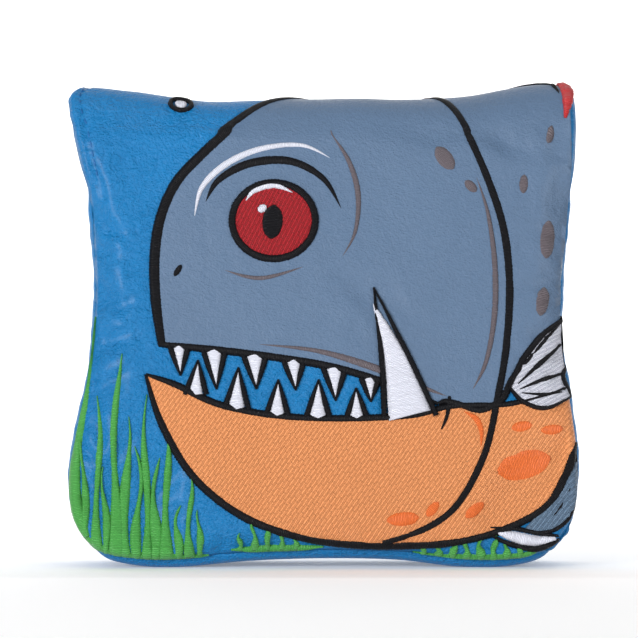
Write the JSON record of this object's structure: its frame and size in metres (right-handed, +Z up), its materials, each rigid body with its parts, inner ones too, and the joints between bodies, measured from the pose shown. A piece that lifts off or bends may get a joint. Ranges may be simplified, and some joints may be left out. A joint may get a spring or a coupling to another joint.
{
  "type": "putter head cover",
  "caption": "Padded leather cover for a mallet putter head, with a plush-lined pouch and a magnetic fold-over flap.",
  "frame": {"origin": "on the surface that the cover stands on, under the middle of the whole cover's box", "axes": "+Z up from the two bottom lobes to the fold, +X along the cover's width to the right as seen from the front, decorated front towards -Y and closure flap towards +Y"},
  "size_m": [0.14, 0.0424, 0.1288],
  "materials": {
    "sky_leather": "pebbled, semi-gloss",
    "slate_leather": "pebbled, satin",
    "foam_padding": "open foam, matte",
    "plush_lining": "short-pile plush",
    "orange_thread": "polyester embroidery, soft sheen",
    "red_thread": "polyester embroidery, soft sheen",
    "white_thread": "polyester embroidery, soft sheen",
    "black_thread": "polyester embroidery, soft sheen",
    "green_thread": "polyester embroidery, soft sheen",
    "steel_thread": "polyester embroidery, soft sheen",
    "label_satin": "woven satin",
    "magnet_plate": "nickel plated"
  },
  "bodies": {
    "pouch": {"front_panel": "sky_leather", "front_padding": "foam_padding", "front_lining": "plush_lining", "gusset_band": "sky_leather", "gusset_padding": "foam_padding", "gusset_lining": "plush_lining", "back_panel": "sky_leather", "back_padding": "foam_padding", "back_lining": "plush_lining", "mouth_hem": "sky_leather", "gusset_hem_left": "sky_leather", "gusset_hem_right": "sky_leather", "care_label": "label_satin", "body_applique": "slate_leather", "belly_embroidery": "orange_thread", "eye_embroidery": "red_thread", "gill_embroidery": "black_thread", "upper_teeth_embroidery": "white_thread", "lower_teeth_embroidery": "white_thread", "side_fin_embroidery": "steel_thread", "seaweed_embroidery": "green_thread", "back_magnet_left": "magnet_plate", "back_magnet_right": "magnet_plate"},
    "flap": {"flap_panel": "sky_leather", "flap_padding": "foam_padding", "flap_lining": "plush_lining", "flap_topstitch": "black_thread", "flap_coral_embroidery": "red_thread", "flap_magnet_left": "magnet_plate", "flap_magnet_right": "magnet_plate"}
  },
  "joints": [
    {"name": "flap_hinge", "type": "hinge", "parent": "pouch", "child": "flap", "pos_m": [0, -0.00812, 0.1184], "axis": [1, 0, 0], "range_deg": [0, 150]}
  ]
}
